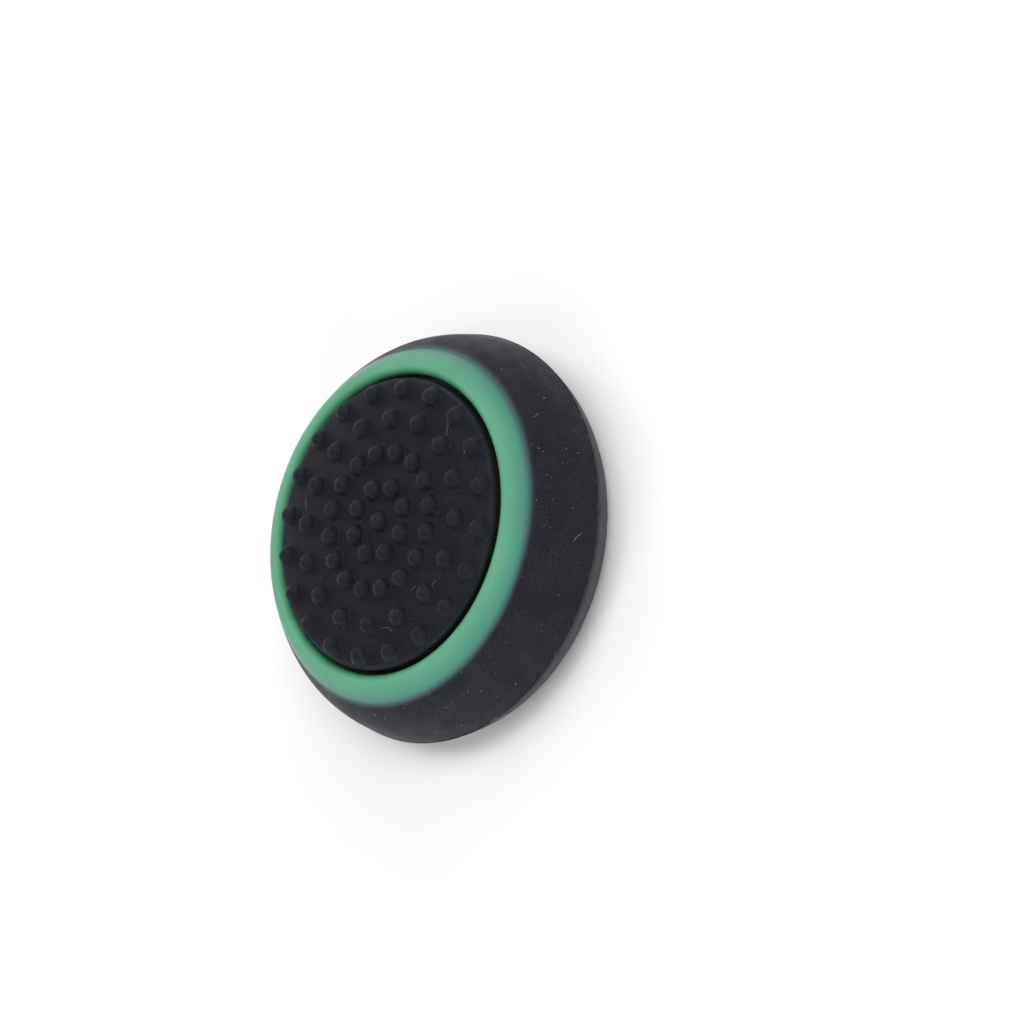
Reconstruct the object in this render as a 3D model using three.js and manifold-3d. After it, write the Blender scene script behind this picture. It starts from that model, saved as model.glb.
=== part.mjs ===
// A thumb grip cap for a game controller's stick: a soft silicone cup with a studded
// pad on top and a coloured ring let into its shoulder. Millimetres, +Z up along the
// cap's axis. The origin is at the centre of the foot that the cap rests on.

import * as THREE from 'three';
import { mergeVertices } from 'three/addons/utils/BufferGeometryUtils.js';
import Module from 'manifold-3d';

// Outside of the cup, which is widest at its parting line
const capDiameter = 23;
const partingHeight = 2.2;
const capHeight = 6.82;
const wallDraft = 9;
const wallFullness = 0.4;
const lipDraft = 12;
const lipFullness = 0.3;

// Foot that the cap stands on, a narrow flat land under the lip
const footDiameter = 19.6;
const footWidth = 0.55;

// Hollow that the stick's head fills, and the mouth that it is pushed through
const wallThickness = 1.5;
const topThickness = 1.7;
const hollowStraight = 0.7;
const ceilingDiameter = 15.2;
const mouthDiameter = 16.4;
const lipThickness = 1.3;
const lipEdgeRadius = 0.5;

// Pad with its studs, standing in a narrow groove. It is level over most of its width
// and rolls off towards its edge, the more steeply the higher the power.
const padDiameter = 16.2;
const padCrown = 0.22;
const padCrownPower = 5;
const padEdgeRadius = 0.25;
const grooveWidth = 0.24;
const grooveDepth = 0.9;

// Coloured ring let into the shoulder
const ringWidth = 1.5;
const ringThickness = 0.55;
const ringCrownWidth = 0.42;
const ringCrownDrop = 0.16;
const ringEdgeRise = 0.34;
const ringFall = 0.8;
const ringSlope = 48;

// Studs: one in the middle, rings at an even spacing, and a last ring along the pad's edge.
// A ring may be turned by a share of the angle between its studs.
const studDiameter = 1.2;
const studHeight = 0.58;
const studSpacing = 1.905;
const innerStudRings = [
  { count: 8, turned: 0 },
  { count: 16, turned: 0.5 },
  { count: 16, turned: 0 },
];
const edgeStudCount = 20;
const edgeStudInset = 0.11;

// How full the plain bends are, and how finely round shapes are cut into flats
const roundFullness = 0.36;
const capSides = 72;
const studSides = 10;
const studSteps = 3;
const padSteps = 4;
const curveSteps = 5;
const sameSpot = 1e-5;

const silicone = new THREE.MeshStandardMaterial({ color: 0x2c2c33, roughness: 0.72, metalness: 0 });
const greenSilicone = new THREE.MeshStandardMaterial({ color: 0x5aa286, roughness: 0.6, metalness: 0 });

const wasm = await Module();
wasm.setup();

// A direction in the section, in degrees from straight out, as a vector of length 1
function direction(degrees) {
  const angle = THREE.MathUtils.degToRad(degrees);
  return new THREE.Vector2(Math.cos(angle), Math.sin(angle));
}

// Points of a smooth bend from one point to another that leaves and arrives in given directions
function bend(from, leave, to, arrive, fullness) {
  const reach = fullness * from.distanceTo(to);
  const curve = new THREE.CubicBezierCurve(
    from,
    from.clone().addScaledVector(leave, reach),
    to.clone().addScaledVector(arrive, -reach),
    to,
  );
  return curve.getPoints(curveSteps);
}

function point(radius, height) {
  return new THREE.Vector2(radius, height);
}

// A solid of revolution about Z, as one closed mesh with shared corners
function turned(profile, sides) {
  const kept = profile.filter((p, i) => i === 0 || p.distanceTo(profile[i - 1]) > sameSpot);
  const lathe = new THREE.LatheGeometry(kept, sides);
  lathe.rotateX(Math.PI / 2);
  lathe.deleteAttribute('normal');
  lathe.deleteAttribute('uv');
  const merged = mergeVertices(lathe, sameSpot);
  const corners = merged.index.array;
  const faces = [];
  for (let i = 0; i < corners.length; i += 3) {
    const [a, b, c] = [corners[i], corners[i + 1], corners[i + 2]];
    if (a !== b && b !== c && c !== a) faces.push(a, b, c);
  }
  merged.setIndex(faces);
  return merged;
}

function toSolid(geometry) {
  return new wasm.Manifold(new wasm.Mesh({
    numProp: 3,
    vertProperties: new Float32Array(geometry.attributes.position.array),
    triVerts: new Uint32Array(geometry.index.array),
  }));
}

function toGeometry(solid) {
  const mesh = solid.getMesh();
  const geometry = new THREE.BufferGeometry();
  geometry.setAttribute('position', new THREE.BufferAttribute(mesh.vertProperties, 3));
  geometry.setIndex(new THREE.BufferAttribute(mesh.triVerts, 1));
  return geometry;
}

const inward = direction(180);
const outward = direction(0);
const upward = direction(90);
const downward = direction(-90);

// The seat that cup and ring share: groove side, floor, sloped outer side
const ringInnerRadius = padDiameter / 2 + grooveWidth;
const ringOuterRadius = ringInnerRadius + ringWidth;
const grooveFloor = capHeight - grooveDepth;
const crownHeight = capHeight - ringCrownDrop;
const ringEdge = point(ringOuterRadius, crownHeight - ringFall);
const seatCorner = ringEdge.clone().addScaledVector(direction(270 - ringSlope), ringThickness);
const seat = [
  point(ringInnerRadius, grooveFloor),
  point(ringInnerRadius, seatCorner.y),
  seatCorner,
  ringEdge,
];

// The narrowest place of the mouth, where the inside and the outside of the cup meet
const mouthSide = point(mouthDiameter / 2, lipThickness - lipEdgeRadius);

// Inside of the cup, from the middle of its ceiling down and out to the mouth
function hollowProfile() {
  const hollowRadius = capDiameter / 2 - wallThickness;
  const ceiling = point(ceilingDiameter / 2, capHeight - topThickness);
  const wallTop = point(hollowRadius, partingHeight + hollowStraight);
  const lipRoot = point(hollowRadius, partingHeight);
  const lipEdge = point(mouthDiameter / 2 + lipEdgeRadius, lipThickness);
  return [
    point(0, ceiling.y),
    ...bend(ceiling, outward, wallTop, downward, roundFullness),
    ...bend(lipRoot, downward, lipEdge, inward, roundFullness),
    ...bend(lipEdge, inward, mouthSide, downward, roundFullness),
  ];
}

// Outside of the cup, from the mouth round the foot and the lip, up to the ring
function outerProfile() {
  const footOuter = point(footDiameter / 2, 0);
  const footInner = point(footDiameter / 2 - footWidth, 0);
  const parting = point(capDiameter / 2, partingHeight);
  return [
    ...bend(mouthSide, downward, footInner, outward, roundFullness),
    ...bend(footOuter, outward, parting, direction(90 - lipDraft), lipFullness),
    ...bend(parting, direction(90 + wallDraft), ringEdge, direction(180 - ringSlope), wallFullness),
  ];
}

// Height of the pad's top at a distance from its middle
function padTop(radius) {
  const share = Math.min(1, radius / (padDiameter / 2 - padEdgeRadius));
  return capHeight + padCrown * (1 - share ** padCrownPower);
}

// Pad, from the groove floor up over its rounded edge and its crown to the middle
function padProfile() {
  const padRadius = padDiameter / 2;
  const edgeStart = point(padRadius, capHeight - padEdgeRadius);
  const edgeEnd = point(padRadius - padEdgeRadius, capHeight);
  const crown = [];
  for (let i = 1; i <= padSteps; i += 1) {
    const radius = edgeEnd.x * (1 - (i / padSteps) ** 2);
    crown.push(point(radius, padTop(radius)));
  }
  return [
    point(padRadius, grooveFloor),
    ...bend(edgeStart, upward, edgeEnd, inward, roundFullness),
    ...crown,
  ];
}

// One stud, a dome whose root stands in the pad
function stud() {
  const radius = studDiameter / 2;
  const root = studHeight / 2;
  const profile = [point(0, -root), point(radius, -root)];
  for (let i = 0; i <= studSteps; i += 1) {
    const along = direction(90 * i / studSteps);
    profile.push(point(i === studSteps ? 0 : radius * along.x, studHeight * along.y));
  }
  return turned(profile, studSides);
}

function ringOfPlaces(radius, count, shift) {
  const places = [];
  for (let i = 0; i < count; i += 1) {
    places.push(direction(360 * (i + shift) / count).multiplyScalar(radius));
  }
  return places;
}

function studPlaces() {
  const places = [point(0, 0)];
  innerStudRings.forEach((ring, i) => {
    places.push(...ringOfPlaces(studSpacing * (i + 1), ring.count, ring.turned));
  });
  const edgeRadius = padDiameter / 2 - studDiameter / 2 - edgeStudInset;
  places.push(...ringOfPlaces(edgeRadius, edgeStudCount, 0));
  return places;
}

// The cup with its pad and studs, moulded as one
function capBody() {
  const channel = [...seat].reverse();
  const section = [...hollowProfile(), ...outerProfile(), ...channel, ...padProfile()];
  const oneStud = toSolid(stud());
  let solid = toSolid(turned(section, capSides));
  for (const place of studPlaces()) {
    solid = solid.add(oneStud.translate([place.x, place.y, padTop(place.length())]));
  }
  return toGeometry(solid);
}

// The ring, seated on the same points as the cup's channel
function colourRing() {
  const crown = point(ringInnerRadius + ringCrownWidth, crownHeight);
  const innerEdge = point(ringInnerRadius, crownHeight - ringEdgeRise);
  const [grooveSide, innerCorner, outerCorner, edge] = seat;
  return turned([
    innerCorner,
    outerCorner,
    ...bend(edge, direction(180 - ringSlope), crown, inward, roundFullness),
    ...bend(crown, inward, innerEdge, downward, roundFullness),
    grooveSide,
    innerCorner,
  ], capSides);
}

function named(name, geometry, material) {
  const mesh = new THREE.Mesh(geometry, material);
  mesh.name = name;
  return mesh;
}

const grip = new THREE.Group();
grip.add(named('cap_body', capBody(), silicone));
grip.add(named('colour_ring', colourRing(), greenSilicone));

export default grip;
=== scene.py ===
import math
import random

import bpy
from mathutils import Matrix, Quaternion, Vector
from mathutils.bvhtree import BVHTree


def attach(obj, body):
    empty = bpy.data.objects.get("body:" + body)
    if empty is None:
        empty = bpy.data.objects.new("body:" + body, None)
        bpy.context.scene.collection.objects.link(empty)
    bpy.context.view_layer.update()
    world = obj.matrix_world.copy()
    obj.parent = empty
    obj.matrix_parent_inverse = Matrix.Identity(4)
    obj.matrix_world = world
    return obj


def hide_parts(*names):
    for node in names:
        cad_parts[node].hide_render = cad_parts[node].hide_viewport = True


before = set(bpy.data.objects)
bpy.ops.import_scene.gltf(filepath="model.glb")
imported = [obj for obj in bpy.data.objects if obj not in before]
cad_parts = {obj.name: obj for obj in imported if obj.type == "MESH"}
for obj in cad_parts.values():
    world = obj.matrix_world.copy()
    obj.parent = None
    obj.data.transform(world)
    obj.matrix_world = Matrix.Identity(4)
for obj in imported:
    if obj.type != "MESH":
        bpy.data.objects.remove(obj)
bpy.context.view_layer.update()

mm = 0.001
print("frame loaded:", sorted(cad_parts))


# Helpers for a section drawn as (radius, height) in millimetres

sameSpot = 1e-5
sharpAngle = 38  # degrees between two faces from which their edge stays hard
roundFullness = 0.36


def heading(degrees):
    angle = math.radians(degrees)
    return Vector((math.cos(angle), math.sin(angle)))


inward, outward = heading(180), heading(0)
upward, downward = heading(90), heading(-90)


def bend(start, leave, end, arrive, fullness, steps):
    # a smooth bend that leaves and arrives in given directions
    reach = fullness * (end - start).length
    first, second = start + leave * reach, end - arrive * reach
    points = []
    for i in range(steps + 1):
        t = i / steps
        u = 1 - t
        points.append(u**3 * start + 3 * u * u * t * first + 3 * u * t * t * second + t**3 * end)
    return points


def line(start, end, steps):
    return [start.lerp(end, i / steps) for i in range(steps + 1)]


def addObject(name, data):
    made = bpy.data.objects.new(name, data)
    bpy.context.scene.collection.objects.link(made)
    return made


def turn(name, section, sides, closed=False):
    # turns a section about the Z axis into one mesh with its faces outwards
    kept = [p for i, p in enumerate(section) if i == 0 or (p - section[i - 1]).length > sameSpot]
    vertices, rows = [], []
    for p in kept:
        if p.x < sameSpot:
            rows.append([len(vertices)] * sides)
            vertices.append((0, 0, p.y * mm))
            continue
        rows.append(list(range(len(vertices), len(vertices) + sides)))
        for i in range(sides):
            angle = 2 * math.pi * i / sides
            vertices.append((p.x * math.cos(angle) * mm, p.x * math.sin(angle) * mm, p.y * mm))
    nextRows = rows[1:] + rows[:1] if closed else rows[1:]
    faces = []
    for low, high in zip(rows, nextRows):
        for i in range(sides):
            j = (i + 1) % sides
            corners = [low[i], low[j], high[j], high[i]]
            face = [c for k, c in enumerate(corners) if c != corners[k - 1]]
            if len(face) > 2:
                faces.append(face)
    mesh = bpy.data.meshes.new(name)
    mesh.from_pydata(vertices, [], faces)
    mesh.update()
    mesh.shade_smooth()
    mesh.set_sharp_from_angle(angle=math.radians(sharpAngle))
    return addObject(name, mesh)


# The cup, in millimetres and degrees. Its sizes are the solid's, with a rounder edge on the pad.
# The flash on the parting line, and the crease above it, are drawn as (out, up) from the line.

cup = dict(
    diameter=23.0, padHeight=6.82, partingHeight=2.2, wallDraft=9, wallFullness=0.4,
    lipDraft=12, lipFullness=0.3, footDiameter=19.6, footWidth=0.55,
    wall=1.5, top=1.7, hollowStraight=0.7, ceilingDiameter=15.2,
    mouthDiameter=16.4, lipThickness=1.3, lipEdgeRadius=0.5,
    padDiameter=16.2, padCrown=0.22, padCrownPower=5, padEdgeRadius=0.32, padCutPower=1.6,
    grooveWidth=0.24, grooveDepth=0.9, grooveCorner=((0.08, 0), (0.02, 0.02), (0, 0.08)),
    flashProud=0.05, wallStart=0.13,
    flash=((0, -0.05), (0.04, -0.02), (0.05, 0), (0.04, 0.02), (0, 0.05), (-0.012, 0.08)),
    sides=256,
    cuts=dict(ceiling=6, dome=14, lipRoot=12, lipEdge=8, mouth=10, lip=14, wall=26, padEdge=8, padTop=24),
)

# The coloured ring, and the seat that it shares with the cup

ring = dict(
    width=1.5, thickness=0.55, crownWidth=0.42, crownDrop=0.16, edgeRise=0.34, fall=0.8, slope=48,
    outerCuts=22, innerCuts=14,
)

ringInner = cup["padDiameter"] / 2 + cup["grooveWidth"]
ringOuter = ringInner + ring["width"]
grooveFloor = cup["padHeight"] - cup["grooveDepth"]
crownHeight = cup["padHeight"] - ring["crownDrop"]
ringEdge = Vector((ringOuter, crownHeight - ring["fall"]))
seatCorner = ringEdge + heading(270 - ring["slope"]) * ring["thickness"]
grooveSide = Vector((ringInner, grooveFloor))
seatInner = Vector((ringInner, seatCorner.y))
padRadius = cup["padDiameter"] / 2
padFlatRadius = padRadius - cup["padEdgeRadius"]


def padTop():
    # from the pad's edge to its middle: level, but rolled off towards the edge, where cuts lie closer
    steps = cup["cuts"]["padTop"]
    points = []
    for i in range(steps + 1):
        radius = padFlatRadius * (1 - (i / steps) ** cup["padCutPower"])
        rise = cup["padCrown"] * (1 - (radius / padFlatRadius) ** cup["padCrownPower"])
        points.append(Vector((radius, cup["padHeight"] + rise)))
    return points


def cupSection():
    # from the middle of the hollow's ceiling, out under the lip and up the outside to the pad
    cuts = cup["cuts"]
    hollowRadius = cup["diameter"] / 2 - cup["wall"]
    ceiling = Vector((cup["ceilingDiameter"] / 2, cup["padHeight"] - cup["top"]))
    wallTop = Vector((hollowRadius, cup["partingHeight"] + cup["hollowStraight"]))
    lipRoot = Vector((hollowRadius, cup["partingHeight"]))
    lipEdge = Vector((cup["mouthDiameter"] / 2 + cup["lipEdgeRadius"], cup["lipThickness"]))
    mouthSide = Vector((cup["mouthDiameter"] / 2, cup["lipThickness"] - cup["lipEdgeRadius"]))
    footOuter = Vector((cup["footDiameter"] / 2, 0))
    footInner = footOuter - Vector((cup["footWidth"], 0))
    parting = Vector((cup["diameter"] / 2 - cup["flashProud"], cup["partingHeight"]))
    flash = [parting + Vector(step) for step in cup["flash"]]
    wallStart = parting + Vector((0, cup["wallStart"]))
    grooveCorner = [Vector((padRadius, grooveFloor)) + Vector(step) for step in cup["grooveCorner"]]
    padEdge = Vector((padRadius, cup["padHeight"] - cup["padEdgeRadius"]))
    padFlat = Vector((padFlatRadius, cup["padHeight"]))
    wallHeading, ringHeading = heading(90 + cup["wallDraft"]), heading(180 - ring["slope"])
    return [
        *line(Vector((0, ceiling.y)), ceiling, cuts["ceiling"]),
        *bend(ceiling, outward, wallTop, downward, roundFullness, cuts["dome"]),
        *bend(lipRoot, downward, lipEdge, inward, roundFullness, cuts["lipRoot"]),
        *bend(lipEdge, inward, mouthSide, downward, roundFullness, cuts["lipEdge"]),
        *bend(mouthSide, downward, footInner, outward, roundFullness, cuts["mouth"]),
        *bend(footOuter, outward, flash[0], heading(90 - cup["lipDraft"]), cup["lipFullness"], cuts["lip"]),
        *flash,
        *bend(wallStart, wallHeading, ringEdge, ringHeading, cup["wallFullness"], cuts["wall"]),
        seatCorner,
        seatInner,
        grooveSide,
        *grooveCorner,
        *bend(padEdge, upward, padFlat, inward, roundFullness, cuts["padEdge"]),
        *padTop(),
    ]


def ringSection():
    crown = Vector((ringInner + ring["crownWidth"], crownHeight))
    innerEdge = Vector((ringInner, crownHeight - ring["edgeRise"]))
    ringHeading = heading(180 - ring["slope"])
    return [
        seatInner,
        seatCorner,
        *bend(ringEdge, ringHeading, crown, inward, roundFullness, ring["outerCuts"]),
        *bend(crown, inward, innerEdge, downward, roundFullness, ring["innerCuts"]),
        grooveSide,
    ]


# Studs: one in the middle, rings at an even spacing as (count, share of a step that the ring is
# turned by), and a last ring along the pad's edge

studs = dict(
    radius=0.56, height=0.59, root=0.25, sides=32, domeFullness=0.37, domeCuts=9,
    flare=0.1, footHeight=0.002, waist=0.14, waistSlope=-70, footFullness=0.3, footCuts=6,
    spacing=1.905, rings=((8, 0), (16, 0.5), (16, 0)), edgeCount=20, edgeRingRadius=7.39,
    sizeSpread=0.03, seed=4,
)


def studSection():
    # a round dome on a small fillet, drawn from the top down and turned round
    top = Vector((0, studs["height"]))
    waist = Vector((studs["radius"], studs["waist"]))
    foot = Vector((studs["radius"] + studs["flare"], studs["footHeight"]))
    side = heading(studs["waistSlope"])
    dome = bend(top, outward, waist, side, studs["domeFullness"], studs["domeCuts"])
    fillet = bend(waist, side, foot, outward, studs["footFullness"], studs["footCuts"])
    return [
        Vector((0, -studs["root"])),
        Vector((foot.x, -studs["root"])),
        *reversed([*dome, *fillet]),
    ]


cupSkin = turn("cupSkin", cupSection(), cup["sides"])
ringSkin = turn("ringSkin", ringSection(), cup["sides"], closed=True)
oneStud = turn("oneStud", studSection(), studs["sides"])
print("turned the cup, the ring and one stud")


# Helpers for every kind of node tree

intSocket, floatSocket = "NodeSocketInt", "NodeSocketFloat"
vectorSocket, colourSocket = "NodeSocketVector", "NodeSocketColor"
objectSocket, materialSocket = "NodeSocketObject", "NodeSocketMaterial"
geometrySocket = "NodeSocketGeometry"


def addInputs(tree, *inputs):
    for name, kind, value in inputs:
        socket = tree.interface.new_socket(name, in_out="INPUT", socket_type=kind)
        if value is not None:
            socket.default_value = value


def feed(tree, socket, value):
    # a number or a colour is set on the socket, and an output is linked to it
    if isinstance(value, (int, float)):
        socket.default_value = value
    elif isinstance(value, tuple):
        socket.default_value = (*value, 1)
    else:
        tree.links.new(value, socket)


def mathNode(tree, operation, a, b=None, clamp=False):
    node = tree.nodes.new("ShaderNodeMath")
    node.operation = operation
    node.use_clamp = clamp
    feed(tree, node.inputs[0], a)
    if b is not None:
        feed(tree, node.inputs[1], b)
    return node.outputs[0]


def product(tree, first, *others):
    for value in others:
        first = mathNode(tree, "MULTIPLY", first, value)
    return first


def splitVector(tree, vector):
    node = tree.nodes.new("ShaderNodeSeparateXYZ")
    tree.links.new(vector, node.inputs["Vector"])
    return node.outputs


def squareSum(tree, x, y):
    return mathNode(tree, "ADD", product(tree, x, x), product(tree, y, y))


# Geometry Nodes: every tree ends in plain geometry with its material set

def geometryTree(name, *inputs):
    tree = bpy.data.node_groups.new(name, "GeometryNodeTree")
    addInputs(tree, ("Geometry", geometrySocket, None), *inputs)
    tree.interface.new_socket("Geometry", in_out="OUTPUT", socket_type=geometrySocket)
    return tree, tree.nodes.new, tree.links.new, tree.nodes.new("NodeGroupInput").outputs


def finishTree(tree, geometry, material):
    new, link = tree.nodes.new, tree.links.new
    real = new("GeometryNodeRealizeInstances")
    paint = new("GeometryNodeSetMaterial")
    link(geometry, real.inputs["Geometry"])
    link(real.outputs["Geometry"], paint.inputs["Geometry"])
    link(material, paint.inputs["Material"])
    link(paint.outputs["Geometry"], new("NodeGroupOutput").inputs["Geometry"])
    return tree


def growNodes(piece, tree, values):
    # runs a tree on a piece and keeps the result as its plain mesh
    modifier = piece.modifiers.new(tree.name, "NODES")
    modifier.node_group = tree
    for socket in tree.interface.items_tree:
        if socket.in_out == "INPUT" and socket.name in values:
            modifier[socket.identifier] = values[socket.name]
    depsgraph = bpy.context.evaluated_depsgraph_get()
    grown = bpy.data.meshes.new_from_object(
        piece.evaluated_get(depsgraph), preserve_all_data_layers=True, depsgraph=depsgraph)
    piece.modifiers.clear()
    piece.data = grown
    return piece


def studTree():
    # the studs stand in rings on the pad, and their feet follow its rounded edge
    tree, new, link, given = geometryTree(
        "studField",
        ("Stud", objectSocket, None),
        ("Spacing", floatSocket, 0.002),
        ("Edge Ring Radius", floatSocket, 0.007),
        ("Pad Height", floatSocket, 0.007),
        ("Pad Crown", floatSocket, 0.0002),
        ("Pad Crown Power", floatSocket, 5),
        ("Pad Flat Radius", floatSocket, 0.008),
        ("Pad Edge Radius", floatSocket, 0.0002),
        ("Stud Height", floatSocket, 0.0005),
        ("Size Spread", floatSocket, 0.03),
        ("Seed", intSocket, 1),
        ("Material", materialSocket, None),
    )
    places = new("GeometryNodeJoinGeometry")
    middle = new("GeometryNodeMeshLine")
    middle.inputs["Count"].default_value = 1
    link(middle.outputs["Mesh"], places.inputs["Geometry"])
    rings = [
        (count, turned, mathNode(tree, "MULTIPLY", given["Spacing"], i + 1))
        for i, (count, turned) in enumerate(studs["rings"])
    ]
    rings.append((studs["edgeCount"], 0, given["Edge Ring Radius"]))
    for count, turned, radius in rings:
        circle = new("GeometryNodeMeshCircle")
        circle.inputs["Vertices"].default_value = count
        link(radius, circle.inputs["Radius"])
        spin = new("GeometryNodeTransform")
        spin.inputs["Rotation"].default_value = (0, 0, 2 * math.pi * turned / count)
        link(circle.outputs["Mesh"], spin.inputs["Geometry"])
        link(spin.outputs["Geometry"], places.inputs["Geometry"])

    # the random value's third and fourth inputs and second output are those of plain numbers
    size = new("FunctionNodeRandomValue")
    size.data_type = "FLOAT"
    link(mathNode(tree, "SUBTRACT", 1, given["Size Spread"]), size.inputs[2])
    size.inputs[3].default_value = 1
    link(given["Seed"], size.inputs["Seed"])
    shape = new("GeometryNodeObjectInfo")
    link(given["Stud"], shape.inputs["Object"])
    stand = new("GeometryNodeInstanceOnPoints")
    link(places.outputs["Geometry"], stand.inputs["Points"])
    link(shape.outputs["Geometry"], stand.inputs["Instance"])
    link(size.outputs[1], stand.inputs["Scale"])
    real = new("GeometryNodeRealizeInstances")
    link(stand.outputs["Instances"], real.inputs["Geometry"])

    # every point rises by the pad's crown under it
    x, y, z = splitVector(tree, new("GeometryNodeInputPosition").outputs["Position"])
    radius = mathNode(tree, "SQRT", squareSum(tree, x, y))
    share = mathNode(tree, "DIVIDE", radius, given["Pad Flat Radius"], clamp=True)
    level = mathNode(tree, "SUBTRACT", 1, mathNode(tree, "POWER", share, given["Pad Crown Power"]))
    crown = mathNode(tree, "ADD", given["Pad Height"], product(tree, given["Pad Crown"], level))
    # past the flat a stud's foot sinks as the rounded edge does
    edge = given["Pad Edge Radius"]
    past = mathNode(tree, "MAXIMUM", mathNode(tree, "SUBTRACT", radius, given["Pad Flat Radius"]), 0)
    past = mathNode(tree, "MINIMUM", past, edge)
    leg = mathNode(tree, "SUBTRACT", product(tree, edge, edge), product(tree, past, past))
    drop = mathNode(tree, "SUBTRACT", edge, mathNode(tree, "SQRT", leg))
    low = mathNode(tree, "SUBTRACT", 1, mathNode(tree, "DIVIDE", z, given["Stud Height"]), clamp=True)
    rise = new("ShaderNodeCombineXYZ")
    link(mathNode(tree, "SUBTRACT", crown, product(tree, drop, low)), rise.inputs["Z"])
    follow = new("GeometryNodeSetPosition")
    link(real.outputs["Geometry"], follow.inputs["Geometry"])
    link(rise.outputs["Vector"], follow.inputs["Offset"])

    both = new("GeometryNodeJoinGeometry")
    link(given["Geometry"], both.inputs["Geometry"])
    link(follow.outputs["Geometry"], both.inputs["Geometry"])
    return finishTree(tree, both.outputs["Geometry"], given["Material"])


# Helpers for shader groups and materials

def shaderGroup(name, inputs, outputs):
    group = bpy.data.node_groups.new(name, "ShaderNodeTree")
    addInputs(group, *inputs)
    for outName, kind in outputs:
        group.interface.new_socket(outName, in_out="OUTPUT", socket_type=kind)
    return group, group.nodes.new("NodeGroupInput").outputs, group.nodes.new("NodeGroupOutput").inputs


def placeGroup(tree, group, vector, values=None):
    node = tree.nodes.new("ShaderNodeGroup")
    node.node_tree = group
    tree.links.new(vector, node.inputs["Vector"])
    for name, value in (values or {}).items():
        feed(tree, node.inputs[name], value)
    return node.outputs


def noise(tree, vector, scale, detail=2, roughness=0.5):
    node = tree.nodes.new("ShaderNodeTexNoise")
    node.inputs["Detail"].default_value = detail
    node.inputs["Roughness"].default_value = roughness
    tree.links.new(vector, node.inputs["Vector"])
    feed(tree, node.inputs["Scale"], scale)
    return node.outputs["Fac"]


def mapRange(tree, value, low, high, toLow=0, toHigh=1, smooth=False):
    node = tree.nodes.new("ShaderNodeMapRange")
    node.interpolation_type = "SMOOTHSTEP" if smooth else "LINEAR"
    tree.links.new(value, node.inputs["Value"])
    for name, given in zip(("From Min", "From Max", "To Min", "To Max"), (low, high, toLow, toHigh)):
        feed(tree, node.inputs[name], given)
    return node.outputs["Result"]


def mixColours(tree, factor, a, b, blend="MIX"):
    # a mix node's colours are its seventh and eighth inputs and its third output
    node = tree.nodes.new("ShaderNodeMix")
    node.data_type = "RGBA"
    node.blend_type = blend
    for index, value in ((0, factor), (6, a), (7, b)):
        feed(tree, node.inputs[index], value)
    return node.outputs[2]


def mixValues(tree, share, a, b):
    return mathNode(tree, "ADD", product(tree, a, share), product(tree, b, 1 - share))


def inverse(tree, mask):
    return mathNode(tree, "SUBTRACT", 1, mask)


# Shared shader groups

def grainGroup():
    # moulded silicone: a fine pebble, softer waves under it, and a slow change of tone
    slowScale, slowTone, wavePolish = 0.28, 0.6, 0.7
    group, given, out = shaderGroup(
        "siliconeGrain",
        [("Vector", vectorSocket, None), ("Fine Size", floatSocket, 0.00009),
         ("Wave Size", floatSocket, 0.0012), ("Wave Share", floatSocket, 0.35)],
        [("Height", floatSocket), ("Tone", floatSocket), ("Polish", floatSocket)],
    )
    waveScale = mathNode(group, "DIVIDE", 1, given["Wave Size"])
    fineScale = mathNode(group, "DIVIDE", 1, given["Fine Size"])
    fine = noise(group, given["Vector"], fineScale, detail=3, roughness=0.6)
    wave = noise(group, given["Vector"], waveScale, detail=3)
    slow = noise(group, given["Vector"], product(group, waveScale, slowScale))
    height = mathNode(group, "ADD", fine, product(group, wave, given["Wave Share"]))
    group.links.new(height, out["Height"])
    group.links.new(mixValues(group, slowTone, slow, fine), out["Tone"])
    group.links.new(mixValues(group, wavePolish, wave, fine), out["Polish"])
    return group


def dustGroup():
    # sparse round specks of mixed size and strength, one to a cell at the most
    smallest, largest, core, faintest = 0.5, 1.5, 0.6, 0.25
    group, given, out = shaderGroup(
        "settledDust",
        [("Vector", vectorSocket, None), ("Cell Size", floatSocket, 0.0009),
         ("Speck Radius", floatSocket, 0.00004), ("Share", floatSocket, 0.4)],
        [("Mask", floatSocket)],
    )
    cells = group.nodes.new("ShaderNodeTexVoronoi")
    cells.feature = "F1"
    group.links.new(given["Vector"], cells.inputs["Vector"])
    group.links.new(mathNode(group, "DIVIDE", 1, given["Cell Size"]), cells.inputs["Scale"])
    chance = group.nodes.new("ShaderNodeSeparateColor")
    group.links.new(cells.outputs["Color"], chance.inputs["Color"])
    away = product(group, cells.outputs["Distance"], given["Cell Size"])
    size = mapRange(group, chance.outputs["Red"], 0, 1, smallest, largest)
    reach = product(group, given["Speck Radius"], size)
    spot = mapRange(group, away, product(group, reach, core), reach, toLow=1, toHigh=0, smooth=True)
    there = mathNode(group, "LESS_THAN", chance.outputs["Green"], given["Share"])
    strength = mapRange(group, chance.outputs["Blue"], 0, 1, faintest, 1)
    group.links.new(product(group, spot, there, strength), out["Mask"])
    return group


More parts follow.
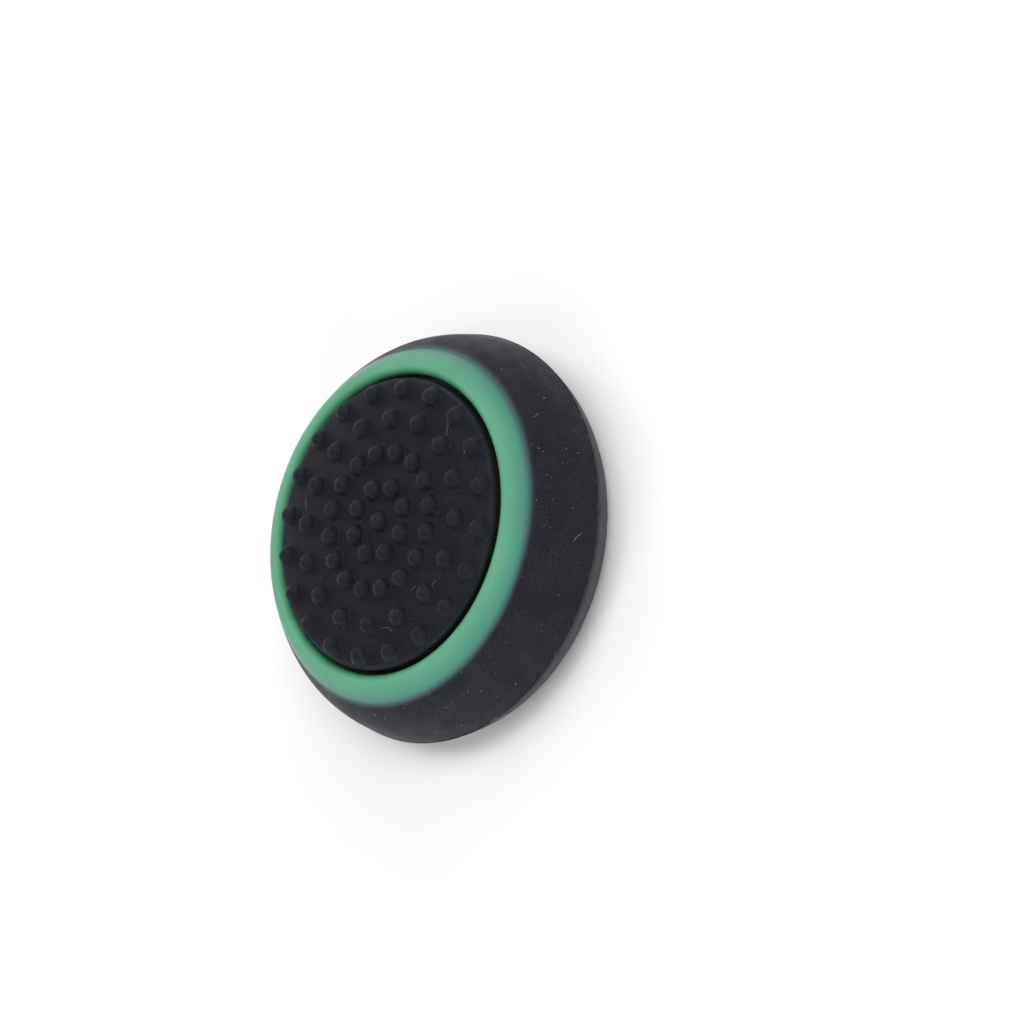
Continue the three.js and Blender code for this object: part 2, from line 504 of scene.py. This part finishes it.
def filmGroup():
    # a thin film of powder: fine speckle that comes and goes in patches
    speckles, patches, thinnest = (0.48, 0.68), (0.35, 0.68), 0.25
    group, given, out = shaderGroup(
        "powderFilm",
        [("Vector", vectorSocket, None), ("Grain Size", floatSocket, 0.00011),
         ("Patch Size", floatSocket, 0.0016), ("Cover", floatSocket, 0.75)],
        [("Mask", floatSocket)],
    )
    fineScale = mathNode(group, "DIVIDE", 1, given["Grain Size"])
    patchScale = mathNode(group, "DIVIDE", 1, given["Patch Size"])
    fine = noise(group, given["Vector"], fineScale, detail=4, roughness=0.75)
    patch = noise(group, given["Vector"], patchScale, detail=3, roughness=0.6)
    speckle = mapRange(group, fine, *speckles)
    area = mapRange(group, patch, *patches, thinnest, 1, smooth=True)
    group.links.new(product(group, speckle, area, given["Cover"]), out["Mask"])
    return group


# The ring's outer edge goes from green over teal to a dark blue-grey, and the black of the cup laps
# over it. Colours are linear and radii are in millimetres. The spreads widen the bands on the side
# away from the heading narrowSide.

edgeLook = dict(
    teal=(0.05, 0.135, 0.12), shade=(0.026, 0.034, 0.046),
    tealStart=9.68, tealEnd=9.84, tealSpread=0.084,
    shadeStart=9.78, shadeEnd=9.97, shadeSpread=0.28,
    lapStart=9.89, lapEnd=10.05, lapStartSpread=0.168, lapEndSpread=0.336,
    lapHeight=5.2, lapInset=0.3, narrowSide=-100, wanderScale=260,
)


def fadeGroup():
    # a mask that goes from 0 to 1 between two radii, which may differ round the ring
    group, given, out = shaderGroup(
        "ringFade",
        [("Vector", vectorSocket, None), ("Start Radius", floatSocket, 0.0094),
         ("End Radius", floatSocket, 0.0101), ("Unevenness", floatSocket, 0.00008),
         ("Start Spread", floatSocket, 0), ("End Spread", floatSocket, 0)],
        [("Mask", floatSocket)],
    )
    x, y, _ = splitVector(group, given["Vector"])
    plain = mathNode(group, "SQRT", squareSum(group, x, y))
    centred = mathNode(group, "SUBTRACT", noise(group, given["Vector"], edgeLook["wanderScale"]), 0.5)
    radius = mathNode(group, "ADD", plain, product(group, centred, given["Unevenness"]))
    narrow = heading(edgeLook["narrowSide"])
    along = mathNode(group, "ADD", product(group, x, narrow.x), product(group, y, narrow.y))
    side = mapRange(group, mathNode(group, "DIVIDE", along, plain), 1, -1)
    low = mathNode(group, "ADD", given["Start Radius"], product(group, side, given["Start Spread"]))
    high = mathNode(group, "ADD", given["End Radius"], product(group, side, given["End Spread"]))
    group.links.new(mapRange(group, radius, low, high), out["Mask"])
    return group


grain, dust, film, fade = grainGroup(), dustGroup(), filmGroup(), fadeGroup()


def fadeMask(tree, where, start, end, startSpread=0, endSpread=0, wander=0.08):
    return placeGroup(tree, fade, where, {
        "Start Radius": start * mm, "End Radius": end * mm, "Unevenness": wander * mm,
        "Start Spread": startSpread * mm, "End Spread": endSpread * mm,
    })["Mask"]


def edgeColourGroup():
    # takes the green, and gives what the ring's outer edge makes of it
    group, given, out = shaderGroup(
        "ringEdgeColour",
        [("Vector", vectorSocket, None), ("Base", colourSocket, (0, 0, 0, 1))],
        [("Colour", colourSocket)],
    )
    look, where = edgeLook, given["Vector"]
    toTeal = fadeMask(group, where, look["tealStart"], look["tealEnd"], endSpread=look["tealSpread"])
    toShade = fadeMask(group, where, look["shadeStart"], look["shadeEnd"], endSpread=look["shadeSpread"])
    colour = mixColours(group, toTeal, given["Base"], look["teal"])
    group.links.new(mixColours(group, toShade, colour, look["shade"]), out["Colour"])
    return group


edgeColour = edgeColourGroup()


# What both silicones share

# the last value sharpens the painted sheen towards the outline
silicone = dict(ior=1.41, gloss=0.29, dust=(0.16, 0.16, 0.17), toneRange=(0.3, 0.7), paintedSheenPower=4)


def newMaterial(name, constants):
    material = bpy.data.materials.new(name)
    material.use_nodes = True
    tree = material.node_tree
    shader = tree.nodes["Principled BSDF"]
    for socket, value in constants.items():
        shader.inputs[socket].default_value = value
    where = tree.nodes.new("ShaderNodeTexCoord").outputs["Object"]
    return material, tree, shader, where


def speckMask(tree, where, look):
    return placeGroup(tree, dust, where, {
        "Cell Size": look["speckCell"] * mm, "Speck Radius": look["speckRadius"] * mm,
        "Share": look["speckShare"],
    })["Mask"]


def paintedSheenAmount(tree, share):
    # how much a face is turned away from the eye, for a painted sheen: pale colour painted at the outline
    # in place of reflected light
    layer = tree.nodes.new("ShaderNodeLayerWeight")
    layer.inputs["Blend"].default_value = 0.5
    return product(tree, mathNode(tree, "POWER", layer.outputs["Facing"], silicone["paintedSheenPower"]), share)


def finishSilicone(tree, shader, base, fine, look):
    rough = mapRange(tree, fine["Polish"], *silicone["toneRange"], *look["roughness"])
    bump = tree.nodes.new("ShaderNodeBump")
    bump.inputs["Strength"].default_value = look["bumpStrength"]
    bump.inputs["Distance"].default_value = look["bumpDepth"] * mm
    tree.links.new(fine["Height"], bump.inputs["Height"])
    tree.links.new(base, shader.inputs["Base Color"])
    tree.links.new(rough, shader.inputs["Roughness"])
    tree.links.new(bump.outputs["Normal"], shader.inputs["Normal"])


# The cup's black: colours are linear, sizes and depths are in millimetres

blackLook = dict(
    dark=(0.0032, 0.0033, 0.0072), light=(0.0078, 0.0078, 0.0135), tint=(0.86, 0.88, 1.0),
    # the second and third values here are a painted sheen: a pale colour painted towards the outline in
    # place of reflected light, and its share
    powder=(0.03, 0.03, 0.037), paintedSheenColour=(0.05, 0.05, 0.056), paintedSheenShare=0.8,
    speckCell=0.4, speckRadius=0.04, speckShare=0.05,
    # the lip's band under the parting line is painted light from the floor
    lipPaintedLight=(0.074, 0.069, 0.078), lipShare=0.65, lipTop=0.02, lipFull=0.45, lipFoot=(0.5, 1.3), lipWidth=1,
    scuff=(0.16, 0.155, 0.17), scuffShare=0.7, scuffEdge=0.1, scuffCore=0.03,
    scuffScale=1500, scuffDetail=5, scuffRoughness=0.8, scuffPatches=(0.54, 0.72),
    # painted green light that lifts the groove's shade
    groovePaintedLight=(0.008, 0.014, 0.011), grooveTop=0.05, grooveFull=0.3,
    groovePadSide=0.04, grooveRingSide=0.02, grooveUnder=0.05,
    roughness=(0.5, 0.72), bumpDepth=0.012, bumpStrength=0.5,
)


def beyond(tree, square, radius):
    return mathNode(tree, "GREATER_THAN", square, (radius * mm) ** 2)


def within(tree, square, radius):
    return mathNode(tree, "LESS_THAN", square, (radius * mm) ** 2)


def lapMask(tree, where, height, square):
    # a little of the ring's colour shows through the black where that laps over it
    look = edgeLook
    startSpread, endSpread = look["lapStartSpread"], look["lapEndSpread"]
    lap = fadeMask(tree, where, look["lapStart"], look["lapEnd"], startSpread, endSpread)
    high = mathNode(tree, "GREATER_THAN", height, look["lapHeight"] * mm)
    return product(tree, high, beyond(tree, square, ringOuter - look["lapInset"]), inverse(tree, lap))


def lipPaintedLightMask(tree, height, square):
    # painted light from the white floor: the lip is painted duller and paler in a band under the parting
    # line, where it faces the floor
    look, parting = blackLook, cup["partingHeight"]
    top, full = (parting - look["lipTop"]) * mm, (parting - look["lipFull"]) * mm
    below = mapRange(tree, height, top, full, 0, look["lipShare"])
    overFoot = mapRange(tree, height, *(level * mm for level in look["lipFoot"]), smooth=True)
    return product(tree, below, overFoot, beyond(tree, square, cup["diameter"] / 2 - look["lipWidth"]))


def scuffMask(tree, where, height):
    # the parting line is scuffed in places
    look = blackLook
    offLine = mathNode(tree, "ABSOLUTE", mathNode(tree, "SUBTRACT", height, cup["partingHeight"] * mm))
    onLine = mapRange(tree, offLine, look["scuffEdge"] * mm, look["scuffCore"] * mm, 0, look["scuffShare"])
    wear = noise(tree, where, look["scuffScale"], look["scuffDetail"], look["scuffRoughness"])
    return product(tree, onLine, mapRange(tree, wear, *look["scuffPatches"]))


def groovePaintedLightMask(tree, height, square):
    # painted green light in the groove's shade, standing in for light that falls through the ring's green
    look, pad = blackLook, cup["padHeight"]
    deepDown = mapRange(tree, height, (pad - look["grooveTop"]) * mm, (pad - look["grooveFull"]) * mm)
    overFloor = mathNode(tree, "GREATER_THAN", height, (grooveFloor - look["grooveUnder"]) * mm)
    offPad = beyond(tree, square, padRadius - look["groovePadSide"])
    inRing = within(tree, square, ringInner + look["grooveRingSide"])
    return product(tree, offPad, inRing, deepDown, overFloor)


def blackSilicone():
    look = blackLook
    material, tree, shader, where = newMaterial("blackSilicone", {
        "IOR": silicone["ior"], "Specular IOR Level": silicone["gloss"],
        "Specular Tint": (*look["tint"], 1)})
    x, y, height = splitVector(tree, where)
    square = squareSum(tree, x, y)
    fine = placeGroup(tree, grain, where)
    base = mixColours(tree, fine["Tone"], look["dark"], look["light"])
    lapped = lapMask(tree, where, height, square)
    under = placeGroup(tree, edgeColour, where, {"Base": edgeLook["teal"]})["Colour"]
    base = mixColours(tree, lapped, base, under)
    powder = product(tree, placeGroup(tree, film, where)["Mask"], inverse(tree, lapped))
    base = mixColours(tree, powder, base, look["powder"])
    # painted light from the floor on the lip, under the parting line
    base = mixColours(tree, lipPaintedLightMask(tree, height, square), base, look["lipPaintedLight"])
    base = mixColours(tree, scuffMask(tree, where, height), base, look["scuff"])
    # painted green light in the groove
    base = mixColours(tree, groovePaintedLightMask(tree, height, square), base, look["groovePaintedLight"])
    base = mixColours(tree, speckMask(tree, where, look), base, silicone["dust"])
    # painted sheen: off the pad, the black is painted paler where its faces turn away from the eye, in
    # place of reflected light
    paintedSheen = product(tree, paintedSheenAmount(tree, look["paintedSheenShare"]), beyond(tree, square, ringInner))
    base = mixColours(tree, paintedSheen, base, look["paintedSheenColour"])
    finishSilicone(tree, shader, base, fine, look)
    return material


# The ring's green, with painted light and shade: painted palest by the pad, where the crown is lit, and
# painted duller and bluer towards the outside, as if in shade, with a painted shade down its inner side, by
# the groove

greenLook = dict(
    # the first two colours here are painted light and shade across the ring: lit by the pad, shaded towards
    # the outside
    litInner=(0.118, 0.392, 0.238), outer=(0.046, 0.198, 0.148), acrossStart=8.75, acrossEnd=9.8,
    acrossWander=0.1, tone=(0.9, 1.1), grainSize=0.12,
    # the deep green here is a painted shade down the ring's inner side, with the groove's green bounce
    # light in it
    paintedInnerShade=(0.045, 0.24, 0.11), deepStart=0.32, deepEnd=0.02, deepWander=0.04,
    # pale and the share beside it are a painted sheen: a pale creamy colour painted towards the ring's
    # outline, standing in for glare and reflected light
    pale=(0.42, 0.45, 0.36), paintedSheenShare=0.5,
    speckCell=1.5, speckRadius=0.03, speckShare=0.2, speckStrength=0.5,
    roughness=(0.45, 0.6), bumpDepth=0.008, bumpStrength=0.4,
)


def greenSilicone():
    look = greenLook
    material, tree, shader, where = newMaterial("greenSilicone", {
        "IOR": silicone["ior"], "Specular IOR Level": silicone["gloss"]})
    fine = placeGroup(tree, grain, where, {"Fine Size": look["grainSize"] * mm})
    across = fadeMask(tree, where, look["acrossStart"], look["acrossEnd"], wander=look["acrossWander"])
    # painted light and shade across the ring: lit by the pad, shaded towards the outside
    base = mixColours(tree, across, look["litInner"], look["outer"])
    tone = mapRange(tree, fine["Tone"], *silicone["toneRange"], *look["tone"])
    base = mixColours(tree, 1, base, tone, "MULTIPLY")
    # painted shade down the ring's inner side, by the groove
    deepStart, deepEnd = ringInner + look["deepStart"], ringInner + look["deepEnd"]
    paintedInnerShade = fadeMask(tree, where, deepStart, deepEnd, wander=look["deepWander"])
    base = mixColours(tree, paintedInnerShade, base, look["paintedInnerShade"])
    base = placeGroup(tree, edgeColour, where, {"Base": base})["Colour"]
    # painted sheen: the green is painted pale where its faces turn away from the eye, except down the
    # painted shade of its inner side
    paintedSheen = product(tree, paintedSheenAmount(tree, look["paintedSheenShare"]), inverse(tree, paintedInnerShade))
    base = mixColours(tree, paintedSheen, base, look["pale"])
    specks = product(tree, speckMask(tree, where, look), look["speckStrength"])
    base = mixColours(tree, specks, base, silicone["dust"])
    finishSilicone(tree, shader, base, fine, look)
    return material


blackFinish, greenFinish = blackSilicone(), greenSilicone()
print("mixed the silicones")

growNodes(cupSkin, studTree(), {
    "Stud": oneStud, "Stud Height": studs["height"] * mm, "Spacing": studs["spacing"] * mm,
    "Edge Ring Radius": studs["edgeRingRadius"] * mm, "Pad Height": cup["padHeight"] * mm,
    "Pad Crown": cup["padCrown"] * mm, "Pad Crown Power": cup["padCrownPower"],
    "Pad Flat Radius": padFlatRadius * mm, "Pad Edge Radius": cup["padEdgeRadius"] * mm,
    "Size Spread": studs["sizeSpread"], "Seed": studs["seed"], "Material": blackFinish,
})
bpy.data.objects.remove(oneStud)
ringSkin.data.materials.append(greenFinish)
print("cup with studs:", len(cupSkin.data.polygons), "faces; ring:", len(ringSkin.data.polygons))


# Lint, as much as such a cap picks up, in millimetres. Fibres are given as (start, end, bow, width),
# single bits by their places, and strays fall anywhere on the wall.

lint = dict(
    fibres=(
        ((3.5, -10.6, 3.6), (4.05, -10.5, 3.15), 0.07, 0.9),
        ((3.69, -9.66, 5.25), (4.1, -9.61, 5.0), -0.05, 0.4),
        ((5.8, -2.25, 6.93), (6.74, -2.17, 7.28), 0.14, 0.9),
        ((-0.57, -2.18, 6.82), (0.25, -2.48, 6.82), 0.1, 1.0),
        ((-5.2, -3.0, 6.82), (-4.85, -3.8, 6.82), 0.14, 0.55),
        ((-1.76, -5.52, 7.07), (-1.29, -5.56, 6.82), 0.06, 0.8),
        ((-7.72, -1.8, 6.8), (-7.3, -2.15, 7.2), 0.05, 1.2),
        ((-1.49, 5.88, 6.82), (-0.93, 6.31, 6.82), 0.06, 0.8),
        ((-2.47, -4.19, 6.82), (-2.05, -4.38, 6.82), 0.04, 0.7),
    ),
    bits=(
        (5.65, -4.26, 7.28), (7.2, 0.15, 7.31), (10.18, -2.31, 5.12), (9.72, -5.17, 4.07),
        (9.93, -5.57, 2.71), (7.82, -7.84, 3.91), (7.8, -8.16, 3.17), (7.68, -8.55, 2.25),
        (6.76, -9.14, 2.2), (11.44, -0.18, 2.35), (7.32, -7.26, 5.29), (-9.6, -2.89, 5.65),
        (-9.79, -3.29, 5.27), (-8.6, -5.45, 5.46), (-7.45, -7.63, 4.77), (-8.26, -7.68, 3.21),
        (-7.1, -7.0, 5.71), (-6.06, -8.74, 4.82), (-4.84, -10.2, 3.17), (-4.91, -3.82, 6.82),
    ),
    bitLength=(0.05, 0.13), bitWidth=(1.3, 2.3),
    strays=14, strayRadius=11, strayHeight=(2.4, 5.6), strayLength=(0.3, 0.8), strayBow=(-0.1, 0.1),
    strayWidth=(0.5, 0.9), seed=11,
    thickness=0.015, lift=0.006, steps=8, taper=0.5, taperPower=3, sides=6, waviness=0.016, waveScale=3000,
    pale=(0.12, 0.12, 0.13), paler=(0.24, 0.24, 0.26), shadeScale=2500, ior=1.5, gloss=0.3,
    roughness=(0.6, 0.9),
)


def lintPaths(name, skin):
    # each fibre as a chain of points that follows the skin, just above it
    chance = random.Random(lint["seed"])
    ground = BVHTree.FromObject(skin, bpy.context.evaluated_depsgraph_get())
    paths = [(Vector(a) * mm, Vector(b) * mm, bow * mm, width) for a, b, bow, width in lint["fibres"]]

    def across(place, length):
        normal = ground.find_nearest(place)[1]
        side = normal.orthogonal().normalized()
        side.rotate(Quaternion(normal, chance.uniform(0, 2 * math.pi)))
        return place + side * length

    for place in lint["bits"]:
        start = Vector(place) * mm
        end = across(start, chance.uniform(*lint["bitLength"]) * mm)
        paths.append((start, end, 0, chance.uniform(*lint["bitWidth"])))
    radius = lint["strayRadius"] * mm
    for _ in range(lint["strays"]):
        angle = chance.uniform(0, 2 * math.pi)
        height = chance.uniform(*lint["strayHeight"]) * mm
        start = Vector((radius * math.cos(angle), radius * math.sin(angle), height))
        end = across(start, chance.uniform(*lint["strayLength"]) * mm)
        bow = chance.uniform(*lint["strayBow"]) * mm
        paths.append((start, end, bow, chance.uniform(*lint["strayWidth"])))
    vertices, edges, widths = [], [], []
    for start, end, bow, width in paths:
        normal = ground.find_nearest((start + end) / 2)[1]
        sideways = normal.cross(end - start).normalized() * bow
        for k in range(lint["steps"] + 1):
            t = k / lint["steps"]
            spot = start.lerp(end, t) + sideways * 4 * t * (1 - t)
            place, normal, *_ = ground.find_nearest(spot)
            if k:
                edges.append((len(vertices) - 1, len(vertices)))
            vertices.append(place + normal * lint["lift"] * mm)
            widths.append(width * (1 - lint["taper"] * abs(2 * t - 1) ** lint["taperPower"]))
    mesh = bpy.data.meshes.new(name)
    mesh.from_pydata(vertices, edges, [])
    mesh.attributes.new("width", "FLOAT", "POINT").data.foreach_set("value", widths)
    return addObject(name, mesh)


def fibreTree():
    # tubes along the paths, as thick as their width attribute says, with a slight ripple
    tree, new, link, given = geometryTree(
        "fibres",
        ("Thickness", floatSocket, 0.00002),
        ("Sides", intSocket, 6),
        ("Waviness", floatSocket, 0.00003),
        ("Material", materialSocket, None),
    )
    path = new("GeometryNodeMeshToCurve")
    link(given["Geometry"], path.inputs["Mesh"])
    width = new("GeometryNodeInputNamedAttribute")
    width.inputs["Name"].default_value = "width"
    ripple = new("ShaderNodeTexNoise")
    ripple.inputs["Scale"].default_value = lint["waveScale"]
    link(new("GeometryNodeInputPosition").outputs["Position"], ripple.inputs["Vector"])
    centred = new("ShaderNodeVectorMath")
    centred.operation = "SUBTRACT"
    centred.inputs[1].default_value = (0.5, 0.5, 0.5)
    link(ripple.outputs["Color"], centred.inputs[0])
    scaled = new("ShaderNodeVectorMath")
    scaled.operation = "SCALE"
    link(centred.outputs["Vector"], scaled.inputs[0])
    link(given["Waviness"], scaled.inputs["Scale"])
    shift = new("GeometryNodeSetPosition")
    link(path.outputs["Curve"], shift.inputs["Geometry"])
    link(scaled.outputs["Vector"], shift.inputs["Offset"])
    outline = new("GeometryNodeCurvePrimitiveCircle")
    link(given["Sides"], outline.inputs["Resolution"])
    link(given["Thickness"], outline.inputs["Radius"])
    tube = new("GeometryNodeCurveToMesh")
    tube.inputs["Fill Caps"].default_value = True
    link(shift.outputs["Geometry"], tube.inputs["Curve"])
    link(outline.outputs["Curve"], tube.inputs["Profile Curve"])
    link(width.outputs["Attribute"], tube.inputs["Scale"])
    return finishTree(tree, tube.outputs["Mesh"], given["Material"])


# Dust: small lumps, each stretched at random, as (length, width, thickness) in millimetres

dustFall = dict(
    density=0.36e6, padShare=0.2, lowestFacing=-0.3, seed=7,
    smallest=(0.01, 0.01, 0.006), largest=(0.036, 0.026, 0.016),
)


def dustTree():
    tree, new, link, given = geometryTree(
        "dustFall",
        ("Speck", objectSocket, None),
        ("Density", floatSocket, 200000.0),
        ("Pad Radius", floatSocket, 0.008),
        ("Pad Share", floatSocket, 0.3),
        ("Smallest", vectorSocket, None),
        ("Largest", vectorSocket, None),
        ("Seed", intSocket, 1),
        ("Material", materialSocket, None),
    )
    # only faces that look away from the middle and not down catch dust, and the pad catches less
    position = new("GeometryNodeInputPosition").outputs["Position"]
    normal = new("GeometryNodeInputNormal").outputs["Normal"]
    away = new("ShaderNodeVectorMath")
    away.operation = "DOT_PRODUCT"
    link(normal, away.inputs[0])
    link(position, away.inputs[1])
    outside = mathNode(tree, "GREATER_THAN", away.outputs["Value"], 0)
    notDown = mathNode(tree, "GREATER_THAN", splitVector(tree, normal)["Z"], dustFall["lowestFacing"])
    x, y, _ = splitVector(tree, position)
    radius = mathNode(tree, "SQRT", squareSum(tree, x, y))
    offPad = mathNode(tree, "GREATER_THAN", radius, given["Pad Radius"])
    share = mathNode(tree, "MAXIMUM", offPad, given["Pad Share"])
    scatter = new("GeometryNodeDistributePointsOnFaces")
    link(given["Geometry"], scatter.inputs["Mesh"])
    link(product(tree, outside, notDown), scatter.inputs["Selection"])
    link(product(tree, given["Density"], share), scatter.inputs["Density"])
    link(given["Seed"], scatter.inputs["Seed"])
    shape = new("GeometryNodeObjectInfo")
    link(given["Speck"], shape.inputs["Object"])
    # the random value's first two inputs and first output are those of vectors
    size = new("FunctionNodeRandomValue")
    size.data_type = "FLOAT_VECTOR"
    link(given["Smallest"], size.inputs[0])
    link(given["Largest"], size.inputs[1])
    link(given["Seed"], size.inputs["Seed"])
    lay = new("GeometryNodeInstanceOnPoints")
    link(scatter.outputs["Points"], lay.inputs["Points"])
    link(scatter.outputs["Rotation"], lay.inputs["Rotation"])
    link(shape.outputs["Geometry"], lay.inputs["Instance"])
    link(size.outputs[0], lay.inputs["Scale"])
    return finishTree(tree, lay.outputs["Instances"], given["Material"])


def paleLint():
    material, tree, shader, where = newMaterial("paleLint", {
        "IOR": lint["ior"], "Specular IOR Level": lint["gloss"]})
    shade = noise(tree, where, lint["shadeScale"])
    tree.links.new(mixColours(tree, shade, lint["pale"], lint["paler"]), shader.inputs["Base Color"])
    tree.links.new(mapRange(tree, shade, 0, 1, *lint["roughness"]), shader.inputs["Roughness"])
    return material


lintFinish = paleLint()
fibres = growNodes(lintPaths("lintFibres", cupSkin), fibreTree(), {
    "Thickness": lint["thickness"] * mm, "Sides": lint["sides"], "Waviness": lint["waviness"] * mm,
    "Material": lintFinish,
})
# a ball of one millimetre, which the sizes in dustFall scale
bpy.ops.mesh.primitive_ico_sphere_add(subdivisions=2, radius=mm)
speck = bpy.context.active_object
dustSpecks = growNodes(addObject("dustSpecks", cupSkin.data.copy()), dustTree(), {
    "Speck": speck, "Density": dustFall["density"], "Pad Radius": ringOuter * mm,
    "Pad Share": dustFall["padShare"], "Smallest": dustFall["smallest"], "Largest": dustFall["largest"],
    "Seed": dustFall["seed"], "Material": lintFinish,
})
bpy.data.objects.remove(speck)
for piece in (fibres, dustSpecks):
    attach(piece, "root")
print("lint:", len(fibres.data.polygons), "faces; dust:", len(dustSpecks.data.polygons), "faces")

for piece, node, slot in (
    (cupSkin, "cap_body", "black_silicone"), (ringSkin, "colour_ring", "green_silicone"),
):
    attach(piece, "root")
    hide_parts(node)


# Floor, world and lights, in metres and watts. Soft boxes stand all round, as in a light tent, each
# given as (azimuth, elevation, watts), and the world is only seen.

studio = dict(
    floorSize=1.6, floorColour=(0.93, 0.93, 0.935), floorShade=(0.9207, 0.9207, 0.92565), floorGlow=0.069,
    floorScale=30, floorIor=1.45, floorRoughness=(0.32, 0.38), worldLight=0.0, worldSeen=1.0,
    boxDistance=0.5, boxSize=0.3, boxAim=(0, 0, 0.003),
    softBoxes=(
        (45, 10, 0.79), (90, 10, 0.56), (135, 10, 0.57), (180, 10, 0.54), (225, 10, 1.12), (270, 10, 0.6),
        (315, 10, 0.38), (0, 32, 0.59), (90, 55, 0.27), (180, 55, 0.36), (315, 55, 0.9), (0, 80, 0.6),
    ),
)


def makeFloor():
    half = studio["floorSize"] / 2
    mesh = bpy.data.meshes.new("floor")
    corners = [(-half, -half, 0), (half, -half, 0), (half, half, 0), (-half, half, 0)]
    mesh.from_pydata(corners, [], [(0, 1, 2, 3)])
    floor = addObject("floor", mesh)
    material, tree, shader, where = newMaterial("paleFloor", {
        "IOR": studio["floorIor"], "Emission Color": (*studio["floorColour"], 1),
        "Emission Strength": studio["floorGlow"]})
    soft = noise(tree, where, studio["floorScale"])
    colour = mixColours(tree, soft, studio["floorColour"], studio["floorShade"])
    tree.links.new(colour, shader.inputs["Base Color"])
    tree.links.new(mapRange(tree, soft, 0, 1, *studio["floorRoughness"]), shader.inputs["Roughness"])
    mesh.materials.append(material)


def makeWorld():
    world = bpy.data.worlds.new("studio")
    bpy.context.scene.world = world
    world.use_nodes = True
    tree = world.node_tree
    background = tree.nodes["Background"]
    background.inputs["Color"].default_value = (1, 1, 1, 1)
    seen = tree.nodes.new("ShaderNodeLightPath").outputs["Is Camera Ray"]
    strength = mapRange(tree, seen, 0, 1, studio["worldLight"], studio["worldSeen"])
    tree.links.new(strength, background.inputs["Strength"])


def directionAt(azimuth, elevation):
    # the direction at an azimuth from +X and an elevation over the floor
    a, e = math.radians(azimuth), math.radians(elevation)
    return Vector((math.cos(a) * math.cos(e), math.sin(a) * math.cos(e), math.sin(e)))


def makeLights():
    for index, (azimuth, elevation, watts) in enumerate(studio["softBoxes"]):
        name = f"softBox{index}"
        data = bpy.data.lights.new(name, "AREA")
        data.shape = "DISK"
        data.size = studio["boxSize"]
        data.energy = watts
        lamp = addObject(name, data)
        lamp.location = directionAt(azimuth, elevation) * studio["boxDistance"]
        lamp.rotation_mode = "QUATERNION"
        lamp.rotation_quaternion = (Vector(studio["boxAim"]) - lamp.location).to_track_quat("-Z", "Y")


# The camera sees the cap from the photograph's side, rolled as the cap leans there

shot = dict(
    lens=116.0, sensorWidth=36, clipStart=0.01, clipEnd=10,
    azimuth=9.88, elevation=45.66, distance=176.9, roll=-75.1, aim=(3.42, -6.01, 4.0),
)


def makeCamera():
    data = bpy.data.cameras.new("camera")
    data.lens = shot["lens"]
    data.sensor_width = shot["sensorWidth"]
    data.clip_start = shot["clipStart"]
    data.clip_end = shot["clipEnd"]
    camera = addObject("camera", data)
    back = directionAt(shot["azimuth"] - 90, shot["elevation"])
    camera.location = (Vector(shot["aim"]) + back * shot["distance"]) * mm
    camera.rotation_mode = "QUATERNION"
    roll = Quaternion((0, 0, 1), math.radians(shot["roll"]))
    camera.rotation_quaternion = (-back).to_track_quat("-Z", "Y") @ roll
    bpy.context.scene.camera = camera


makeFloor()
makeWorld()
makeCamera()
makeLights()
bpy.context.scene.view_settings.view_transform = "Standard"
bpy.context.scene.view_settings.look = "None"
print("set up the floor, the camera and", len(studio["softBoxes"]), "soft boxes")
